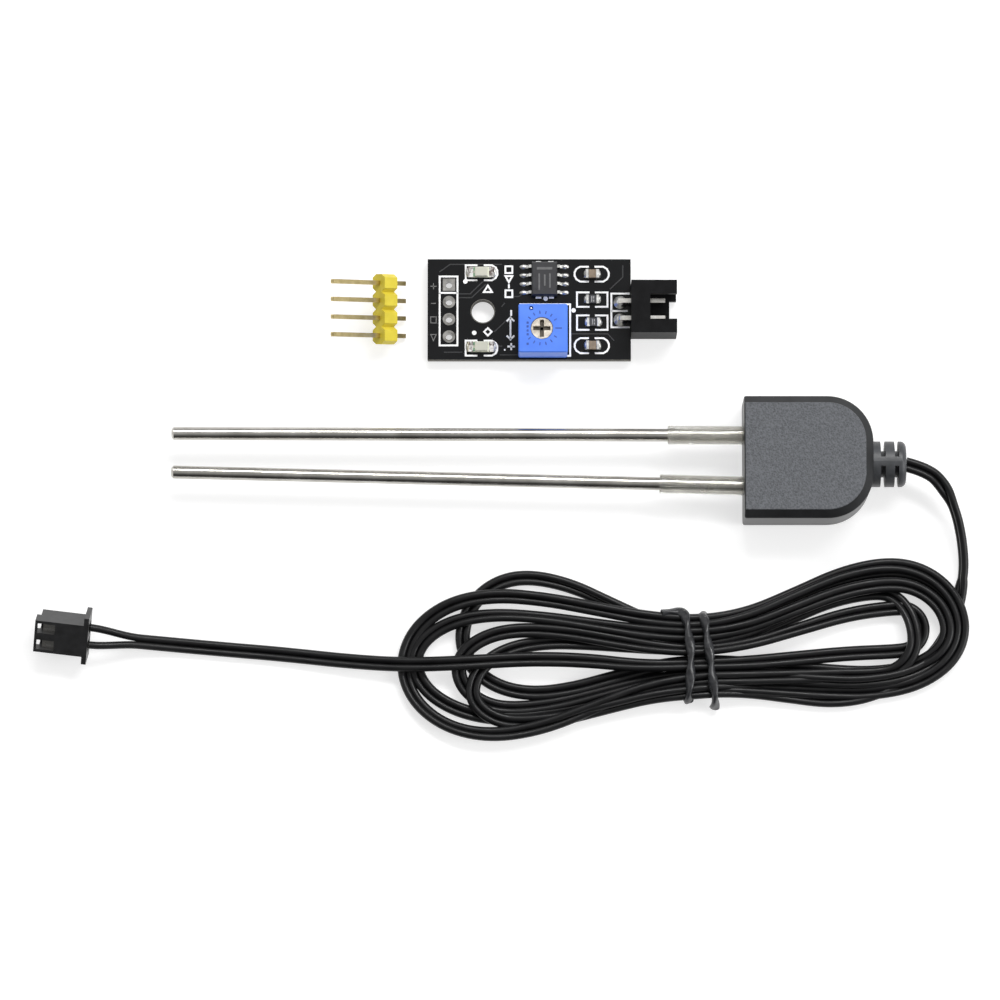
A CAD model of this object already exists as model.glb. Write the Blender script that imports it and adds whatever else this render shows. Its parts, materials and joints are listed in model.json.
import json
from math import asin, cos, pi, radians, sin

import bmesh
import bpy
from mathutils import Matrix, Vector


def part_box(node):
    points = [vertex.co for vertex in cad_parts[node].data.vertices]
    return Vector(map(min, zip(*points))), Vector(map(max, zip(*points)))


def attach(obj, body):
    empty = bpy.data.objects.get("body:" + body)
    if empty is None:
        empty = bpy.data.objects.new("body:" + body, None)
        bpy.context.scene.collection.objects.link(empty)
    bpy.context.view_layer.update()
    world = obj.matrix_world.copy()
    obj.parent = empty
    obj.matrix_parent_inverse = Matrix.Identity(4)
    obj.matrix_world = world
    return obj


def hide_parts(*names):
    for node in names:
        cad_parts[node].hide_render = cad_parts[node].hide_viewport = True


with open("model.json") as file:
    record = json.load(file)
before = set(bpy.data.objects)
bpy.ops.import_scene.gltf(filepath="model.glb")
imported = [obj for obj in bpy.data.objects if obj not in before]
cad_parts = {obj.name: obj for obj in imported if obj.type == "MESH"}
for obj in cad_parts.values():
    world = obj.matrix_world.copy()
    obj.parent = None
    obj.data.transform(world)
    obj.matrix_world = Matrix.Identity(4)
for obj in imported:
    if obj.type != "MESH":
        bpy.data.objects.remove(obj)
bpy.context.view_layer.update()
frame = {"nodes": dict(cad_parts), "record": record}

nodes = frame["nodes"]
MM = 0.001


def mm(x, y, z):
    """A place given in millimetres, in metres."""
    return Vector((x * MM, y * MM, z * MM))


# --- small tools ---------------------------------------------------------------------


def smoothstep(value):
    value = min(max(value, 0.0), 1.0)
    return value * value * (3 - 2 * value)


def top_of(node):
    """The middle of the top of a CAD part's box."""
    low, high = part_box(node)
    return Vector(((low[0] + high[0]) / 2, (low[1] + high[1]) / 2, high[2]))


def add_object(name, mesh, body, material):
    """Puts a finished mesh in the scene, riding on a body of the frame."""
    piece = bpy.data.objects.new(name, mesh)
    bpy.context.scene.collection.objects.link(piece)
    mesh.materials.append(material)
    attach(piece, body)
    return piece


def shade_smooth(mesh, sharp_degrees):
    """Smooth shading, with edges sharper than an angle kept crisp."""
    for polygon in mesh.polygons:
        polygon.use_smooth = True
    mesh.set_sharp_from_angle(angle=radians(sharp_degrees))


def spline_samples(points, resolution):
    """Points along the NURBS curve that has the given control points."""
    curve = bpy.data.curves.new("route", "CURVE")
    curve.dimensions = "3D"
    spline = curve.splines.new("NURBS")
    spline.points.add(len(points) - 1)
    for target, point in zip(spline.points, points):
        target.co = (*point, 1.0)
    spline.order_u = 3
    spline.use_endpoint_u = True
    spline.resolution_u = resolution
    holder = bpy.data.objects.new("route", curve)
    bpy.context.scene.collection.objects.link(holder)
    line = bpy.data.meshes.new_from_object(holder)
    samples = [v.co.copy() for v in line.vertices]
    bpy.data.objects.remove(holder)
    bpy.data.meshes.remove(line)
    return samples


def distances(samples):
    """Running length at each sample of a line."""
    running = [0.0]
    for before, here in zip(samples, samples[1:]):
        running.append(running[-1] + (here - before).length)
    return running


def path_frames(samples):
    """Level side and upward direction at each sample of a line."""
    frames = []
    for index in range(len(samples)):
        before = samples[max(index - 1, 0)]
        after = samples[min(index + 1, len(samples) - 1)]
        tangent = (after - before).normalized()
        side = Vector((0, 0, 1)).cross(tangent)
        if side.length < 0.05:
            side = frames[-1][0]
        side.normalize()
        frames.append((side, tangent.cross(side)))
    return frames


def sweep_rings(bm, rings, closed=False):
    """Skins a row of rings, each a list of places, and caps the two ends."""
    rows = [[bm.verts.new(place) for place in ring] for ring in rings]
    count = len(rows[0])
    pairs = list(zip(rows, rows[1:]))
    if closed:
        pairs.append((rows[-1], rows[0]))
    for first, second in pairs:
        for i in range(count):
            j = (i + 1) % count
            bm.faces.new((first[i], first[j], second[j], second[i]))
    if not closed:
        bm.faces.new(list(reversed(rows[0])))
        bm.faces.new(rows[-1])


def finish_mesh(name, bm):
    """Mesh of a bmesh, with its faces turned outwards."""
    bmesh.ops.recalc_face_normals(bm, faces=bm.faces)
    mesh = bpy.data.meshes.new(name)
    bm.to_mesh(mesh)
    bm.free()
    return mesh


# --- materials -----------------------------------------------------------------------


class Look:
    """A node material: a Principled shader and the nodes that feed it."""

    def __init__(self, name, **values):
        self.material = bpy.data.materials.new(name)
        self.material.use_nodes = True
        self.tree = self.material.node_tree
        self.shader = self.tree.nodes["Principled BSDF"]
        for socket, value in values.items():
            self.set(socket, value)
        self.place = self.tree.nodes.new("ShaderNodeTexCoord").outputs["Object"]

    def set(self, socket, value):
        name = socket.replace("_", " ")
        target = self.shader.inputs[name]
        if target.type == "RGBA":
            value = (*value, 1.0)
        target.default_value = value

    def link(self, source, target):
        self.tree.links.new(source, target)

    def stretched(self, x, y, z):
        """Object coordinates scaled by axis, for a stretched pattern."""
        mapping = self.tree.nodes.new("ShaderNodeMapping")
        mapping.inputs["Scale"].default_value = (x, y, z)
        self.link(self.place, mapping.inputs["Vector"])
        return mapping.outputs["Vector"]

    def noise(self, scale, detail=3.0, roughness=0.5, place=None):
        noise = self.tree.nodes.new("ShaderNodeTexNoise")
        noise.inputs["Scale"].default_value = scale
        noise.inputs["Detail"].default_value = detail
        noise.inputs["Roughness"].default_value = roughness
        self.link(place or self.place, noise.inputs["Vector"])
        return noise.outputs["Fac"]

    def cells(self, scale):
        cells = self.tree.nodes.new("ShaderNodeTexVoronoi")
        cells.inputs["Scale"].default_value = scale
        self.link(self.place, cells.inputs["Vector"])
        return cells.outputs["Distance"]

    def ramp(self, source, *stops):
        ramp = self.tree.nodes.new("ShaderNodeValToRGB")
        elements = ramp.color_ramp.elements
        while len(elements) < len(stops):
            elements.new(0.5)
        for element, (position, colour) in zip(elements, stops):
            element.position = position
            element.color = (*colour, 1.0)
        self.link(source, ramp.inputs["Fac"])
        return ramp.outputs["Color"]

    def span(self, source, low, high, to_low=0.0, to_high=1.0):
        """Maps a value smoothly from one range to another."""
        span = self.tree.nodes.new("ShaderNodeMapRange")
        span.interpolation_type = "SMOOTHSTEP"
        span.inputs["From Min"].default_value = low
        span.inputs["From Max"].default_value = high
        span.inputs["To Min"].default_value = to_low
        span.inputs["To Max"].default_value = to_high
        self.link(source, span.inputs["Value"])
        return span.outputs["Result"]

    def axis(self, letter):
        """One object coordinate, in metres."""
        split = self.tree.nodes.new("ShaderNodeSeparateXYZ")
        self.link(self.place, split.inputs["Vector"])
        return split.outputs[letter]

    def math(self, kind, first, second=None):
        math = self.tree.nodes.new("ShaderNodeMath")
        math.operation = kind
        for socket, value in zip(math.inputs, (first, second)):
            if isinstance(value, (int, float)):
                socket.default_value = value
            elif value is not None:
                self.link(value, socket)
        return math.outputs["Value"]

    def mix(self, factor, first, second):
        mix = self.tree.nodes.new("ShaderNodeMix")
        mix.data_type = "RGBA"
        self.link(factor, mix.inputs["Factor"])
        for name, value in (("A", first), ("B", second)):
            socket = next(s for s in mix.inputs if s.name == name and s.type == "RGBA")
            if isinstance(value, tuple):
                socket.default_value = (*value, 1.0)
            else:
                self.link(value, socket)
        return next(s for s in mix.outputs if s.type == "RGBA")

    def colour(self, source):
        self.link(source, self.shader.inputs["Base Color"])

    def mottle(self, scale, detail, dark, light, roughness=0.5):
        """Colours the surface between two (position, colour) stops by a noise."""
        self.colour(self.ramp(self.noise(scale, detail, roughness), dark, light))

    def grain(self, scale, detail, height):
        """A fine noise bump, its height given in millimetres."""
        self.bump(self.noise(scale, detail), height * MM)

    def roughness(self, source):
        self.link(source, self.shader.inputs["Roughness"])

    def bump(self, source, distance, strength=1.0):
        """Adds a bump of a height in metres on top of those added before."""
        bump = self.tree.nodes.new("ShaderNodeBump")
        bump.inputs["Strength"].default_value = strength
        bump.inputs["Distance"].default_value = distance
        self.link(source, bump.inputs["Height"])
        if self.shader.inputs["Normal"].is_linked:
            self.link(self.shader.inputs["Normal"].links[0].from_socket, bump.inputs["Normal"])
        self.link(bump.outputs["Normal"], self.shader.inputs["Normal"])


GREY_DARK = (0.06, 0.063, 0.069)
HOUSING_TOP = 9.5


def housing_look():
    """Grey moulded plastic: spark texture on the flat top and bottom, satin borders."""
    look = Look("grey_moulded", Roughness=0.5, Specular_IOR_Level=0.3)
    height = look.axis("Z")
    top = look.span(height, (HOUSING_TOP - 0.08) * MM, (HOUSING_TOP - 0.01) * MM)
    bottom = look.span(height, 0.08 * MM, 0.01 * MM)
    flat = look.math("MAXIMUM", top, bottom)
    grain = look.noise(2600, 4, 0.75)
    pits = look.cells(3800)
    spark = look.math("ADD", grain, look.math("MULTIPLY", pits, 0.5))
    border = look.ramp(
        look.noise(350, 3), (0.35, (0.0075, 0.008, 0.009)), (0.7, (0.014, 0.015, 0.0165)),
    )
    speckle = look.ramp(spark, (0.42, GREY_DARK), (0.95, (0.125, 0.131, 0.143)))
    wander = look.math("MULTIPLY", look.noise(120, 2), 1.2 * MM)
    seam_height = look.math("ADD", wander, 1.6 * MM)
    line = look.math("ABSOLUTE", look.math("SUBTRACT", height, seam_height))
    parting = look.span(line, 0.22 * MM, 0.05 * MM)
    edge = look.mix(parting, border, GREY_DARK)
    look.colour(look.mix(flat, edge, speckle))
    look.bump(parting, 0.08 * MM)
    look.roughness(look.span(flat, 0, 1, 0.36, 0.62))
    look.bump(look.math("MULTIPLY", spark, flat), 0.07 * MM)
    look.grain(900, 3, 0.006)
    return look.material


def relief_look():
    look = Look("grey_flexible", Roughness=0.42)
    look.mottle(600, 4, (0.3, (0.026, 0.0275, 0.03)), (0.75, GREY_DARK))
    look.grain(1800, 3, 0.012)
    return look.material


def steel_look():
    """Bright drawn steel, with fine draw lines and a few handling marks."""
    look = Look("drawn_steel", Metallic=1.0, Roughness=0.2)
    lines = look.noise(1.0, 3, 0.6, look.stretched(60, 9000, 9000))
    marks = look.noise(180, 5, 0.6)
    look.colour(look.ramp(marks, (0.3, (0.38, 0.365, 0.335)), (0.62, (0.57, 0.555, 0.52))))
    worn = look.math(
        "ADD", look.math("MULTIPLY", lines, 0.16), look.math("MULTIPLY", marks, 0.16),
    )
    look.roughness(look.span(worn, 0.05, 0.3, 0.1, 0.34))
    look.bump(lines, 0.004 * MM, 0.6)
    return look.material


def sleeve_look():
    """Clear shrink sleeve, slightly yellow, scuffed."""
    look = Look(
        "clear_shrink", Base_Color=(0.97, 0.97, 0.93), Roughness=0.2, IOR=1.35,
        Transmission_Weight=0.93,
    )
    scuffs = look.noise(500, 4, 0.6)
    look.roughness(look.span(scuffs, 0.5, 0.8, 0.06, 0.4))
    look.bump(look.noise(260, 2), 0.02 * MM, 0.5)
    return look.material


def cable_look():
    look = Look("cable_jacket", Roughness=0.34, Specular_IOR_Level=0.3)
    look.mottle(500, 3, (0.3, (0.003, 0.003, 0.0035)), (0.7, (0.006, 0.006, 0.0065)))
    look.roughness(look.span(look.noise(300, 4), 0.3, 0.7, 0.3, 0.46))
    look.grain(700, 2, 0.003)
    return look.material


def tie_look():
    look = Look("tie_plastic", Roughness=0.24)
    look.mottle(1200, 3, (0.3, (0.012, 0.0125, 0.014)), (0.75, (0.04, 0.041, 0.045)))
    look.grain(2600, 4, 0.03)
    return look.material


def connector_look():
    look = Look("connector_black", Roughness=0.46, Specular_IOR_Level=0.08)
    look.mottle(700, 3, (0.3, (0.004, 0.004, 0.0045)), (0.75, (0.008, 0.008, 0.009)))
    look.grain(3000, 3, 0.008)
    return look.material


def tin_look():
    look = Look("tinned_metal", Metallic=1.0, Roughness=0.25)
    look.mottle(1500, 3, (0.3, (0.62, 0.6, 0.56)), (0.7, (0.8, 0.79, 0.76)))
    look.grain(2500, 3, 0.01)
    return look.material


def solder_look():
    look = Look("solder", Metallic=1.0, Roughness=0.3)
    look.mottle(1400, 4, (0.3, (0.48, 0.48, 0.46)), (0.7, (0.82, 0.82, 0.8)))
    look.grain(1700, 3, 0.03)
    return look.material


def board_look():
    """Black solder mask on a brown-grey laminate that shows at the edges."""
    look = Look("board_mask", Roughness=0.4, Specular_IOR_Level=0.26)
    low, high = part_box("circuit_board")
    height = look.axis("Z")
    mask = look.math(
        "MAXIMUM",
        look.span(height, high[2] - 0.05 * MM, high[2] - 0.01 * MM),
        look.span(height, low[2] + 0.05 * MM, low[2] + 0.01 * MM),
    )
    skin = look.ramp(
        look.noise(450, 4), (0.3, (0.0022, 0.0024, 0.003)), (0.75, (0.0042, 0.0045, 0.0054)),
    )
    plies = look.noise(1.0, 2, 0.5, look.stretched(900, 900, 9000))
    core = look.ramp(plies, (0.3, (0.09, 0.085, 0.07)), (0.7, (0.2, 0.19, 0.165)))
    look.colour(look.mix(mask, core, skin))
    look.roughness(look.span(mask, 0, 1, 0.7, 0.22))
    look.grain(700, 3, 0.008)
    return look.material


def print_look(name, dark, light):
    """Screen print, a little thin in places."""
    look = Look(name, Roughness=0.6)
    look.mottle(2500, 4, (0.3, (dark,) * 3), (0.6, (light,) * 3))
    return look.material


def chip_look():
    look = Look("chip_epoxy", Roughness=0.5)
    look.mottle(900, 4, (0.3, (0.009, 0.009, 0.011)), (0.75, (0.018, 0.018, 0.022)))
    look.grain(3200, 3, 0.015)
    return look.material


def trimmer_look():
    look = Look("trimmer_plastic", Roughness=0.42)
    look.mottle(300, 3, (0.3, (0.06, 0.19, 0.8)), (0.75, (0.085, 0.235, 0.88)))
    look.grain(2400, 3, 0.01)
    return look.material


def rotor_look():
    look = Look("rotor_nickel", Metallic=0.6, Roughness=0.4)
    look.mottle(1100, 5, (0.35, (0.42, 0.37, 0.3)), (0.65, (0.72, 0.66, 0.58)), 0.6)
    look.roughness(look.span(look.noise(1600, 4), 0.3, 0.7, 0.28, 0.5))
    look.grain(1500, 4, 0.03)
    return look.material


def lens_look():
    look = Look(
        "lamp_resin", Base_Color=(0.84, 0.84, 0.72), Roughness=0.12, IOR=1.45,
        Transmission_Weight=0.35,
    )
    look.roughness(look.span(look.noise(900, 3), 0.3, 0.7, 0.08, 0.25))
    return look.material


def lamp_base_look():
    look = Look("lamp_base", Roughness=0.5)
    look.mottle(1500, 4, (0.35, (0.74, 0.77, 0.6)), (0.7, (0.88, 0.9, 0.76)))
    return look.material


def lamp_end_look():
    """Silvered end caps, bright where the solder wets them and stained elsewhere."""
    look = Look("lamp_end", Metallic=0.9, Roughness=0.3)
    look.mottle(1300, 3, (0.42, (0.16, 0.13, 0.12)), (0.56, (0.8, 0.79, 0.77)), 0.6)
    look.grain(1900, 3, 0.03)
    return look.material


def capacitor_look():
    look = Look("capacitor_ceramic", Roughness=0.5)
    look.mottle(1300, 4, (0.3, (0.17, 0.125, 0.085)), (0.75, (0.27, 0.205, 0.14)))
    look.grain(2600, 3, 0.01)
    return look.material


def resistor_look():
    look = Look("resistor_glaze", Roughness=0.3)
    look.mottle(1300, 3, (0.3, (0.03, 0.03, 0.034)), (0.75, (0.06, 0.06, 0.066)))
    return look.material


def header_look():
    look = Look(
        "header_yellow", Roughness=0.42, Specular_IOR_Level=0.35, Subsurface_Weight=0.1,
        Subsurface_Radius=(0.001, 0.0008, 0.0002),
    )
    look.mottle(400, 3, (0.3, (0.6, 0.49, 0.035)), (0.75, (0.7, 0.58, 0.055)))
    look.grain(1800, 3, 0.012)
    return look.material


def gold_look():
    look = Look("flash_gold", Metallic=1.0, Roughness=0.28)
    look.mottle(900, 4, (0.3, (0.48, 0.38, 0.17)), (0.7, (0.68, 0.56, 0.29)))
    look.bump(look.noise(1.0, 3, 0.5, look.stretched(300, 4000, 300)), 0.006 * MM)
    return look.material


def plain_look(name, dark, light, roughness=0.5, metallic=0.0):
    look = Look(name, Roughness=roughness, Metallic=metallic)
    look.mottle(900, 3, (0.3, dark), (0.7, light))
    look.grain(2000, 3, 0.01)
    return look.material


looks = {
    "grey_pvc": housing_look(),
    "white_nylon": plain_look("nylon", (0.62, 0.62, 0.57), (0.75, 0.75, 0.7)),
    "stainless": steel_look(),
    "clear_sleeve": sleeve_look(),
    "copper": plain_look("bare_copper", (0.6, 0.3, 0.14), (0.8, 0.45, 0.25), 0.3, 1.0),
    "cable_black": cable_look(),
    "tie_black": tie_look(),
    "connector_black": connector_look(),
    "tinned": tin_look(),
    "board_black": board_look(),
    "solder": solder_look(),
    "chip_black": chip_look(),
    "trimmer_blue": trimmer_look(),
    "rotor_metal": rotor_look(),
    "ceramic": plain_look("alumina", (0.62, 0.6, 0.55), (0.74, 0.72, 0.68)),
    "lamp_white": lamp_base_look(),
    "lamp_lens": lens_look(),
    "capacitor_tan": capacitor_look(),
    "resistor_black": resistor_look(),
    "header_yellow": header_look(),
    "gold": gold_look(),
}
# parts that look a little different from the rest of their material slot
own_looks = {
    "strain_relief": relief_look(),
    "plug_housing": plain_look("plug_nylon", (0.009, 0.009, 0.0095), (0.019, 0.019, 0.02), 0.38),
    "hole_plating": plain_look(
        "plated_copper", (0.16, 0.155, 0.145), (0.42, 0.41, 0.39), 0.3, 1.0,
    ),
    "lamp_ends_1": lamp_end_look(),
}
own_looks["lamp_ends_2"] = own_looks["lamp_ends_1"]

for entry in frame["record"]["subparts"]:
    node = entry["node"]
    mesh = nodes[node].data
    mesh.materials.clear()
    mesh.materials.append(own_looks.get(node, looks[entry["material_slot"]]))


# --- the cord ------------------------------------------------------------------------

CORE_RADIUS = 0.55          # of one core, with its jacket, in millimetres
CORE_OFFSET = 0.53          # from the middle of the cable to the middle of a core
SPLIT_OFFSET = 1.27         # the same at the plug, where the cores part
SPLIT_LENGTH = 7.5          # over this length before the plug
EDGE_ROLL = 1.3             # radians
CORE_SIDES = 12
CABLE_STEPS = 8             # samples of the cable for each span of its route

probe_lead = [
    (52.8, -11.27, 4.75),
    (56.0, -12.1, 4.7),
    (58.3, -14.3, 4.3),
    (60.0, -17.6, 3.4),
    (61.0, -21.6, 2.2),
    (61.4, -26.0, 1.2),
    (60.7, -30.0, 0.85),
]
plug_lead = [
    (-19.5, -40.1, 2.3),
    (-27.5, -39.5, 1.5),
    (-37.0, -38.4, 0.9),
    (-46.5, -37.6, 0.8),
    (-54.2, -36.9, 0.9),
    (-60.2, -36.5, 2.5),
    (-64.8, -36.1, 3.66),
]

TIE_X = 22.9
STEPS = 3                   # points of each quarter of a loop
# the loops of the hank, each with its top, far end and bottom as (x, y, height)
LEFT_LOOPS = {
    "outer": ((-6.8, -29.9, 2.0), (-19.9, -40.0, 0.75), (-7.1, -50.4, 2.0)),
    "second": ((-6.6, -32.7, 1.9), (-18.3, -39.6, 0.8), (-4.5, -47.9, 0.8)),
    "stray": ((-2.1, -27.0, 0.8), (-11.4, -36.0, 0.8), (-1.2, -44.2, 0.8)),
    "middle": ((-2.4, -34.9, 1.9), (-11.9, -40.6, 1.8), (-4.2, -46.4, 0.9)),
    "inner": ((1.2, -36.6, 0.9), (-9.9, -43.6, 1.9), (-3.2, -48.5, 1.6)),
}
RIGHT_LOOPS = {
    "outer": ((50.8, -25.3, 2.3), (61.3, -34.9, 1.9), (47.6, -44.1, 1.0)),
    "second": ((50.9, -27.0, 1.2), (59.9, -34.8, 1.0), (46.9, -42.6, 1.9)),
    "third": ((50.9, -28.2, 2.2), (59.1, -35.2, 2.1), (47.9, -41.2, 0.9)),
    "crossing": ((48.9, -29.2, 0.8), (54.2, -36.4, 2.6), (48.9, -41.5, 1.6)),
    "inner": ((52.0, -31.6, 1.3), (55.35, -34.8, 1.2), (52.0, -38.0, 1.1)),
}
LOW, HIGH = 1.5, 2.65       # the two layers in which the turns pass the tie
# where the cord passes the tie: (y, height), in the order in which it gets there
PASSES = (
    (-44.0, HIGH), (-37.6, LOW), (-42.1, HIGH), (-34.0, HIGH), (-43.3, LOW), (-35.9, HIGH),
    (-39.4, LOW), (-35.2, LOW), (-41.4, LOW), (-38.1, HIGH), (-40.1, HIGH),
)
# left and right loops in turn, in the order in which the cord runs through them
LOOP_ORDER = (
    "inner", "crossing", "outer", "outer", "second",
    "third", "stray", "second", "middle", "inner",
)
lead_in = [
    (59.8, -33.0, 0.75),
    (58.5, -36.4, 0.75),
    (55.8, -39.7, 0.75),
    (51.8, -42.5, 0.75),
    (47.0, -44.6, 0.75),
    (42.0, -45.2, 0.75),
    (36.5, -44.6, 0.8),
    (31.0, -43.8, 1.2),
    (26.5, -43.7, 2.2),
]


def half_loop(peak, end, tie_pass):
    """Points from the tie out over a peak and round to the far end, both ends left out."""
    y_tie, z_tie = tie_pass
    points = []
    for step in range(1, STEPS + 1):
        part = step / (STEPS + 1)
        ease = (1 - cos(pi * part)) / 2
        points.append((
            TIE_X + (peak[0] - TIE_X) * part,
            y_tie + (peak[1] - y_tie) * ease,
            z_tie + (peak[2] - z_tie) * ease,
        ))
    for step in range(STEPS):
        turn = pi / 2 * step / STEPS
        points.append((
            end[0] + (peak[0] - end[0]) * (1 - sin(turn)),
            end[1] + (peak[1] - end[1]) * cos(turn),
            peak[2] + (end[2] - peak[2]) * smoothstep(step / STEPS),
        ))
    return points


def hank_points():
    """Control points of all turns, loop by loop, left and right in turn."""
    points = []
    for number, name in enumerate(LOOP_ORDER):
        left = number % 2 == 0
        top, end, bottom = (LEFT_LOOPS if left else RIGHT_LOOPS)[name]
        arrive, leave = PASSES[number], PASSES[number + 1]
        first, last = (bottom, top) if left else (top, bottom)
        points.append((TIE_X, *arrive))
        points += half_loop(first, end, arrive)
        points.append(end)
        points += reversed(half_loop(last, end, leave))
    points.append((TIE_X, *PASSES[-1]))
    return points


tie_exit = [
    (14.5, -40.3, 2.7),
    (6.0, -39.4, 2.6),
    (-2.5, -39.3, 2.8),
    (-11.0, -39.9, 3.0),
]
cord_route = [mm(*p) for p in probe_lead + lead_in + hank_points() + tie_exit + plug_lead]


def build_cord():
    """Flat twin cable: two touching cores that roll a little as they go."""
    samples = spline_samples(cord_route, CABLE_STEPS)
    running = distances(samples)
    total = running[-1]
    frames = path_frames(samples)
    rings = ([], [])
    for centre, along, (side, up) in zip(samples, running, frames):
        to_end = total - along
        # the cable rolls gently in the hank, and stands on edge beside the housing
        coiled = smoothstep((along - 25 * MM) / (25 * MM))
        coiled *= smoothstep((to_end - 60 * MM) / (30 * MM))
        roll = coiled * (0.55 * sin(along / (19 * MM)) + 0.35 * sin(along / (7.7 * MM) + 1.0))
        on_edge = smoothstep((along - 5 * MM) / (5 * MM))
        on_edge *= smoothstep((34 * MM - along) / (8 * MM))
        roll += EDGE_ROLL * on_edge
        # near the surface there is less room to roll
        room = min(max((centre.z / MM - CORE_RADIUS - 0.02) / CORE_OFFSET, 0.0), 1.0)
        roll = min(max(roll, -asin(room)), asin(room))
        split = smoothstep(1 - to_end / (SPLIT_LENGTH * MM))
        offset = (CORE_OFFSET + (SPLIT_OFFSET - CORE_OFFSET) * split) * MM
        apart = side * cos(roll) + up * sin(roll)
        for sign, core in zip((-1, 1), rings):
            middle = centre + apart * (sign * offset)
            core.append([
                middle + (side * cos(a) + up * sin(a)) * (CORE_RADIUS * MM)
                for a in (2 * pi * i / CORE_SIDES for i in range(CORE_SIDES))
            ])
    bm = bmesh.new()
    for core in rings:
        sweep_rings(bm, core)
    mesh = finish_mesh("twin_cable", bm)
    shade_smooth(mesh, 60)
    cord = add_object("twin_cable", mesh, "probe", looks["cable_black"])
    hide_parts("cord_lead_probe", "cord_coil", "cord_lead_plug")
    return cord, samples, total


twin_cable, cord_samples, cord_length = build_cord()


# --- the twist tie -------------------------------------------------------------------

TIE_WIDE, TIE_THIN = 0.74, 0.46     # half width and half thickness
TIE_TWIST = 1.5                     # length of one radian of twist
TIE_SIDES = 14
TIE_STEPS = 10
tie_route = [
    (25.2, -46.1, 1.1),
    (25.3, -45.7, 2.7),
    (25.0, -43.4, 3.9),
    (24.5, -38.9, 4.1),
    (23.8, -34.2, 3.9),
    (23.6, -32.6, 2.3),
    (23.2, -33.4, 0.95),
    (22.6, -38.9, 0.8),
    (21.6, -44.0, 0.95),
    (21.4, -45.6, 2.0),
    (21.5, -44.0, 3.7),
    (21.9, -38.9, 4.2),
    (21.2, -34.4, 4.1),
    (20.9, -32.6, 3.0),
    (19.4, -32.2, 2.4),
    (17.6, -32.8, 3.0),
]


def build_tie():
    """A plastic strip with a wire core, wound twice round the hank and twisted."""
    samples = spline_samples([mm(*p) for p in tie_route], TIE_STEPS)
    running = distances(samples)
    frames = path_frames(samples)
    wide, thin = TIE_WIDE * MM, TIE_THIN * MM
    rings = []
    for centre, along, (side, up) in zip(samples, running, frames):
        twist = along / (TIE_TWIST * MM)
        first = side * cos(twist) + up * sin(twist)
        second = up * cos(twist) - side * sin(twist)
        rings.append([
            centre + first * (wide * cos(a)) + second * (thin * sin(a))
            for a in (2 * pi * i / TIE_SIDES for i in range(TIE_SIDES))
        ])
    bm = bmesh.new()
    sweep_rings(bm, rings)
    mesh = finish_mesh("tie_strip", bm)
    shade_smooth(mesh, 60)
    tie = add_object("tie_strip", mesh, "probe", looks["tie_black"])
    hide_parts("twist_tie")
    return tie


tie_strip = build_tie()


# --- print, solder and marks on the board -----------------------------------------------

board_top = top_of("circuit_board")
PRINT_WIDTH = 0.26
PRINT_HEIGHT = 0.025
THIN_WIDTH = 0.13
TRACE_WIDTH, TRACE_HEIGHT = 0.16, 0.02
MARK_HEIGHT = 0.012
DOT_RADIUS = 0.33
LEAD_PITCH = 1.27
FIXING_HOLE = (-6.73, -0.29)
RIM_RADIUS = 1.74
RIVET_PLACE = (-1.55, 2.92)     # from the middle of the rotor
SLOT_REACH = 1.2


def add_stroke(bm, origin, points, width, height, closed=False):
    """A flat line with mitred corners, through points in millimetres from an origin."""
    rings = []
    places = [Vector(p) for p in points]
    for index, place in enumerate(places):
        normals = []
        for other in (index - 1, index + 1):
            if closed or 0 <= other < len(places):
                along = (places[other % len(places)] - place) * (1 if other > index else -1)
                normals.append(Vector((-along.y, along.x)).normalized())
        middle = sum(normals, Vector((0, 0))).normalized()
        reach = middle * (width / 2 / max(middle.dot(normals[0]), 0.35))
        left, right = place + reach, place - reach
        rings.append([
            origin + mm(*left, 0), origin + mm(*left, height),
            origin + mm(*right, height), origin + mm(*right, 0),
        ])
    sweep_rings(bm, rings, closed)


def add_disc(bm, origin, x, y, radius, height, sides=20):
    rings = [
        [
            origin + mm(x + radius * cos(a), y + radius * sin(a), z)
            for a in (2 * pi * i / sides for i in range(sides))
        ]
        for z in (0, height)
    ]
    sweep_rings(bm, rings)


def add_dome(bm, origin, x, y, across, deep, height, sides=18):
    """A drop of solder: an oval dome with a slightly uneven rim."""
    rings = []
    for lift in (0.0, 0.25, 0.5, 0.72, 0.88, 0.98):
        shrink = (1 - lift ** 2) ** 0.5
        rings.append([
            origin + mm(
                x + across * shrink * cos(a) * (1 + 0.06 * sin(3 * a + 7 * x)),
                y + deep * shrink * sin(a) * (1 + 0.06 * sin(2 * a + 5 * y)),
                height * lift,
            )
            for a in (2 * pi * i / sides for i in range(sides))
        ])
    sweep_rings(bm, rings)


def mirrored(points, about):
    return [(2 * about - x, y) for x, y in points]


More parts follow.
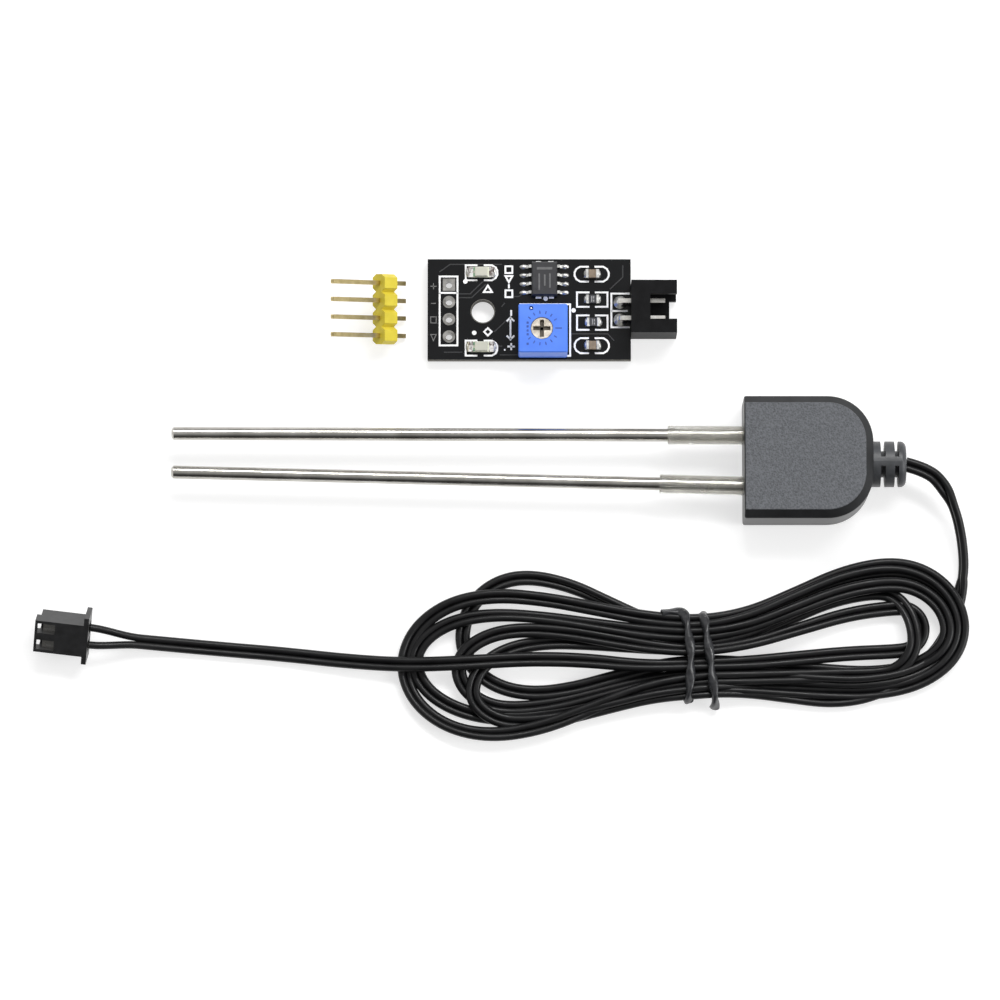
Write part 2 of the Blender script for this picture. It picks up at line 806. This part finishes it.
def build_print():
    """White lines round the components, with plain marks in place of the lettering."""
    strokes = [
        [
            (-10.42, 2.43), (-13.0, 2.43), (-13.0, 4.84), (-10.42, 4.84), (-10.42, -5.3),
            (-13.0, -5.3), (-13.0, 2.43),
        ],
        [(14.6, 2.32), (11.93, 2.32), (11.93, -2.64), (14.6, -2.64)],
        [(11.93, -0.23), (14.3, -0.23)],
        [(-1.43, 0.75), (5.94, 0.75), (5.94, -6.83), (5.4, -6.83)],
        [(0.98, 6.97), (1.75, 6.97)], [(2.75, 6.97), (3.55, 6.97)],
        [(0.95, 1.72), (1.75, 1.72)], [(2.85, 1.72), (3.6, 1.72)],
        [(-2.62, -0.1), (-2.62, -0.95)],
        [(-2.72, -1.2), (-2.72, -4.42)],
        [(-3.27, -1.77), (-2.72, -1.2), (-2.17, -1.77)],
        [(-3.27, -3.85), (-2.72, -4.42), (-2.17, -3.85)],
        [(-3.15, -5.47), (-2.1, -5.47)], [(-2.62, -4.97), (-2.62, -5.97)],
    ]
    for middle in (5.4, -5.7):
        strokes.append([
            (-7.53, middle + 1.1), (-9.22, middle + 1.1), (-9.22, middle - 1.1),
            (-7.53, middle - 1.1),
        ])
        strokes.append([
            (-6.61, middle + 1.1), (-5.4, middle + 1.1), (-4.85, middle + 0.75),
            (-4.63, middle + 0.3), (-4.63, middle - 0.3), (-4.85, middle - 0.75),
            (-5.4, middle - 1.1), (-6.61, middle - 1.1),
        ])
    for middle in (5.19, -5.34):
        bracket = [
            (8.66, middle + 1.1), (7.4, middle + 1.1), (6.85, middle + 0.75),
            (6.6, middle + 0.25), (6.6, middle - 0.25), (6.85, middle - 0.75),
            (7.4, middle - 1.1), (8.66, middle - 1.1),
        ]
        strokes += [bracket, mirrored(bracket, 9.08)]
    for middle in (1.44, -1.95):
        bracket = [
            (8.75, middle + 1.06), (6.94, middle + 1.06), (6.94, middle - 1.06),
            (8.75, middle - 1.06),
        ]
        strokes += [bracket, mirrored(bracket, 9.15)]
    closed = [
        [(-6.6, 2.55), (-5.4, 2.55), (-6.0, 3.5)],
        [(-6.0, -2.75), (-5.45, -3.3), (-6.0, -3.85), (-6.55, -3.3)],
        [(-3.45, 6.35), (-2.45, 6.35), (-2.45, 5.35), (-3.45, 5.35)],
        [(-3.45, 4.9), (-2.45, 4.9), (-2.95, 4.0)],
        [(-3.45, 2.8), (-2.45, 2.8), (-2.45, 1.8), (-3.45, 1.8)],
    ]
    strokes.append([(-2.95, 3.7), (-2.95, 3.1)])
    bm = bmesh.new()
    for points in strokes:
        add_stroke(bm, board_top, points, PRINT_WIDTH, PRINT_HEIGHT)
    for points in closed:
        add_stroke(bm, board_top, points, PRINT_WIDTH, PRINT_HEIGHT, closed=True)
    for x, y in ((-9.27, 4.11), (-7.98, -3.45), (2.38, 1.59), (6.44, -0.15)):
        add_disc(bm, board_top, x, y, DOT_RADIUS, PRINT_HEIGHT + 0.005)
    add_disc(bm, board_top, -3.55, -5.95, 0.14, PRINT_HEIGHT)
    add_object("board_print", finish_mesh("board_print", bm), "board", white_print)


def build_pin_marks():
    """Thin grey marks beside the four pins."""
    bm = bmesh.new()
    for points in (
        [(-14.35, 3.41), (-13.45, 3.41)], [(-13.9, 3.86), (-13.9, 2.96)],
        [(-14.25, 0.89), (-13.55, 0.89)],
    ):
        add_stroke(bm, board_top, points, THIN_WIDTH, PRINT_HEIGHT)
    for points in (
        [(-14.3, -1.1), (-13.5, -1.1), (-13.5, -2.0), (-14.3, -2.0)],
        [(-14.3, -3.7), (-13.5, -3.7), (-13.9, -4.6)],
    ):
        add_stroke(bm, board_top, points, THIN_WIDTH, PRINT_HEIGHT, closed=True)
    add_object("pin_marks", finish_mesh("pin_marks", bm), "board", grey_print)


def build_traces():
    """Copper tracks that show as faint raised lines under the solder mask."""
    bm = bmesh.new()
    for points in (
        [(-13.05, 5.51), (-11.5, 6.63), (-3.95, 6.63)],
        [(-10.25, 2.29), (-8.57, 2.29), (-6.75, 4.1)],
        [(-10.25, 1.73), (-8.35, 1.73), (-6.3, 3.7)],
        [(-5.07, -3.31), (-3.1, -1.4)],
        [(-4.0, 0.4), (-3.55, 0.95)],
        [(-2.5, 1.9), (-1.5, 1.9), (-0.8, 2.3)],
        [(-4.4, -5.4), (-3.9, -5.4)],
        [(5.9, -3.6), (11.4, -3.6), (12.3, -4.6)],
        [(11.7, 2.95), (13.6, 4.75), (13.6, 6.5)],
        [(-12.4, -6.3), (-9.7, -6.3)],
        [(-4.3, -6.7), (-1.6, -6.7)],
    ):
        add_stroke(bm, board_top, points, TRACE_WIDTH, TRACE_HEIGHT)
    mesh = finish_mesh("board_traces", bm)
    add_object("board_traces", mesh, "board", trace_mask)


def build_solder():
    """Fillets of solder at the feet of the chip and at the ends of the small parts."""
    bm = bmesh.new()
    low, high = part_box("comparator_leads")
    middle = (low[1] + high[1]) / 2
    for side in (low[0] + 0.1 * MM, high[0] - 0.1 * MM):
        for row in (-1.5, -0.5, 0.5, 1.5):
            x = (side - board_top.x) / MM
            y = (middle - board_top.y) / MM + row * LEAD_PITCH
            add_dome(bm, board_top, x, y, 0.62, 0.36, 0.34)
    for name in (
        "capacitor_1_ends", "capacitor_2_ends", "resistor_1_ends", "resistor_2_ends",
        "lamp_ends_1", "lamp_ends_2",
    ):
        low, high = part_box(name)
        y = ((low[1] + high[1]) / 2 - board_top.y) / MM
        deep = (high[1] - low[1]) / 2 / MM
        tall = (high[2] - board_top.z) / MM
        for side in (low[0], high[0]):
            x = (side - board_top.x) / MM
            add_dome(bm, board_top, x, y, 0.3, deep * 0.95, tall * 0.6)
    mesh = finish_mesh("joint_fillets", bm)
    shade_smooth(mesh, 50)
    add_object("joint_fillets", mesh, "board", looks["solder"])


def build_chip_marks():
    """A pale bar at the first pin and faint lines in place of the chip's lettering."""
    origin = top_of("comparator")
    bm = bmesh.new()
    add_stroke(bm, origin, [(-1.1, 1.45), (1.15, 1.45)], 0.36, MARK_HEIGHT)
    for x, start, end in ((-0.75, 0.7, -1.75), (0.05, 0.55, -1.1), (0.8, 0.7, -1.4)):
        add_stroke(bm, origin, [(x, start), (x, end)], 0.22, MARK_HEIGHT)
    add_object("chip_marks", finish_mesh("chip_marks", bm), "board", chip_print)


def build_dial():
    """Ticks and bars round the rotor of the trimmer, its cross slot and its rivet."""
    rotor_top = top_of("trimmer_rotor")
    centre = Vector((rotor_top.x, rotor_top.y, top_of("trimmer_case").z))
    ticks = [(-140 + 280 * step / 13, 2.1, 2.55) for step in range(14)]
    ticks[6:8] = [(0.0, 1.95, 2.9)]     # one long tick in place of the middle two
    bm = bmesh.new()
    for degrees, start, end in ticks:
        angle = radians(degrees)
        along = Vector((cos(angle), sin(angle)))
        add_stroke(bm, centre, [along * start, along * end], 0.16, 0.02)
    add_object("dial_ticks", finish_mesh("dial_ticks", bm), "board", dial_ink)

    # plain bars stand in for the digits that are moulded beside the rotor
    bm = bmesh.new()
    for start in (0.95, 0.4, -0.2, -0.75, -2.15):
        add_stroke(bm, centre, [(-2.05, start), (-2.05, start - 0.32)], 0.3, 0.015)
    add_object("dial_bars", finish_mesh("dial_bars", bm), "board", dial_ink)

    # the stained floor of the cross slot turns with the rotor
    bm = bmesh.new()
    slot_floor = Vector((centre.x, centre.y, rotor_top.z - 0.7 * MM))
    for ends in (
        ((-SLOT_REACH, 0.0), (SLOT_REACH, 0.0)),
        ((0.0, -SLOT_REACH), (0.0, SLOT_REACH)),
    ):
        add_stroke(bm, slot_floor, ends, 0.56, 0.25)
    bmesh.ops.bevel(bm, geom=bm.edges, offset=0.05 * MM, segments=1, affect="EDGES")
    add_object("rotor_cross", finish_mesh("rotor_cross", bm), "rotor", slot_stain)

    # the riveted pin beside the rotor
    bm = bmesh.new()
    pin = Vector((centre.x, centre.y, centre.z - 0.4 * MM))
    add_dome(bm, pin, *RIVET_PLACE, 0.29, 0.29, 0.36)
    mesh = finish_mesh("trimmer_rivet", bm)
    shade_smooth(mesh, 50)
    add_object("trimmer_rivet", mesh, "board", looks["tinned"])


def build_small_marks():
    """Pale bars on the resistors, green marks on the lamps, the rim of the fixing hole."""
    bm = bmesh.new()
    for name in ("resistor_1", "resistor_2"):
        top = top_of(name)
        for x, start, end in ((-0.12, 0.4, -0.4), (0.16, 0.4, 0.05), (0.16, -0.12, -0.4)):
            add_stroke(bm, top, [(x, start), (x, end)], 0.12, MARK_HEIGHT)
    mesh = finish_mesh("resistor_marks", bm)
    add_object("resistor_marks", mesh, "board", mark_print)

    bm = bmesh.new()
    for name in ("lamp_base_1", "lamp_base_2"):
        top = top_of(name)
        for start, end in ((0.2, 0.68), (-0.68, -0.2)):
            add_stroke(bm, top, [(-1.02, start), (-1.02, end)], 0.14, 0.015)
    add_object("lamp_marks", finish_mesh("lamp_marks", bm), "board", green_print)

    bm = bmesh.new()
    around = [radians(step * 10) for step in range(36)]
    x, y = FIXING_HOLE
    ring = [(x + RIM_RADIUS * cos(a), y + RIM_RADIUS * sin(a)) for a in around]
    add_stroke(bm, board_top, ring, 0.1, 0.015, closed=True)
    add_object("hole_rim", finish_mesh("hole_rim", bm), "board", rim_mask)


white_print = print_look("white_print", 0.86, 0.97)
grey_print = print_look("grey_print", 0.1, 0.16)
chip_print = print_look("chip_print", 0.09, 0.13)
mark_print = print_look("mark_print", 0.3, 0.45)
green_print = plain_look("green_print", (0.1, 0.4, 0.2), (0.2, 0.55, 0.3))
slot_stain = plain_look("slot_stain", (0.035, 0.027, 0.02), (0.12, 0.1, 0.075), 0.6)
rim_mask = plain_look("rim_mask", (0.09, 0.085, 0.075), (0.16, 0.15, 0.13))
trace_mask = plain_look("trace_mask", (0.014, 0.0145, 0.016), (0.022, 0.023, 0.025), 0.35)
dial_ink = plain_look("dial_ink", (0.02, 0.06, 0.3), (0.03, 0.09, 0.4), 0.5)
build_print()
build_pin_marks()
build_traces()
build_solder()
build_chip_marks()
build_dial()
build_small_marks()


# --- stage, light and camera ---------------------------------------------------------

FIELD = 144.9               # width of the view at the surface, in millimetres
DISTANCE = 900.0
ELEVATION = 82.0
SENSOR = 36.0
FLOOR_DROP = 0.02           # keeps the floor just clear of the undersides
DARK_SIDE = (-0.45, -0.89, 0.0)
aim = mm(-5.69, -15.8, 0)


def build_stage():
    look = Look(
        "floor", Base_Color=(0.5, 0.5, 0.5), Roughness=0.8, Specular_IOR_Level=0.0,
        Emission_Color=(1.0, 1.0, 1.0), Emission_Strength=0.62,
    )
    bm = bmesh.new()
    bmesh.ops.create_grid(bm, x_segments=1, y_segments=1, size=3.0)
    mesh = finish_mesh("floor", bm)
    mesh.materials.append(look.material)
    floor = bpy.data.objects.new("floor", mesh)
    floor.location = mm(0, 0, -FLOOR_DROP)
    bpy.context.scene.collection.objects.link(floor)


def area_light(name, place, width, power, height):
    light = bpy.data.lights.new(name, "AREA")
    light.shape = "RECTANGLE"
    light.size = width
    light.size_y = height
    light.energy = power
    lamp = bpy.data.objects.new(name, light)
    lamp.location = place
    direction = aim - Vector(place)
    lamp.rotation_euler = direction.to_track_quat("-Z", "Y").to_euler()
    bpy.context.scene.collection.objects.link(lamp)


def build_light():
    world = bpy.data.worlds.new("studio")
    world.use_nodes = True
    tree = world.node_tree
    background = tree.nodes["Background"]
    background.inputs["Color"].default_value = (1, 1, 1, 1)
    # the studio is darker towards the front left, which gives the metal its dark bands
    where = tree.nodes.new("ShaderNodeTexCoord")
    toward = tree.nodes.new("ShaderNodeVectorMath")
    toward.operation = "DOT_PRODUCT"
    toward.inputs[1].default_value = DARK_SIDE
    tree.links.new(where.outputs["Generated"], toward.inputs[0])
    fade = tree.nodes.new("ShaderNodeMapRange")
    fade.inputs["From Min"].default_value = 0.1
    fade.inputs["From Max"].default_value = 0.75
    fade.inputs["To Min"].default_value = 0.6
    fade.inputs["To Max"].default_value = 0.05
    tree.links.new(toward.outputs["Value"], fade.inputs["Value"])
    tree.links.new(fade.outputs["Result"], background.inputs["Strength"])
    bpy.context.scene.world = world
    area_light("key_back", (0.2, 0.5, 0.8), 0.7, 6.5, 0.2)
    area_light("fill_left", (-0.8, -0.1, 0.5), 0.5, 0.5, 0.5)
    area_light("fill_right", (0.85, -0.2, 0.55), 0.5, 4.0, 0.5)


def build_camera():
    camera = bpy.data.cameras.new("camera")
    camera.sensor_width = SENSOR
    camera.lens = SENSOR * DISTANCE / FIELD
    camera.clip_start = 0.05
    camera.clip_end = 10.0
    holder = bpy.data.objects.new("camera", camera)
    lift = radians(ELEVATION)
    holder.location = aim + Vector((0, -cos(lift), sin(lift))) * (DISTANCE * MM)
    holder.rotation_euler = (radians(90 - ELEVATION), 0, 0)
    bpy.context.scene.collection.objects.link(holder)
    bpy.context.scene.camera = holder


build_stage()
build_light()
build_camera()
bpy.context.scene.view_settings.view_transform = "Standard"
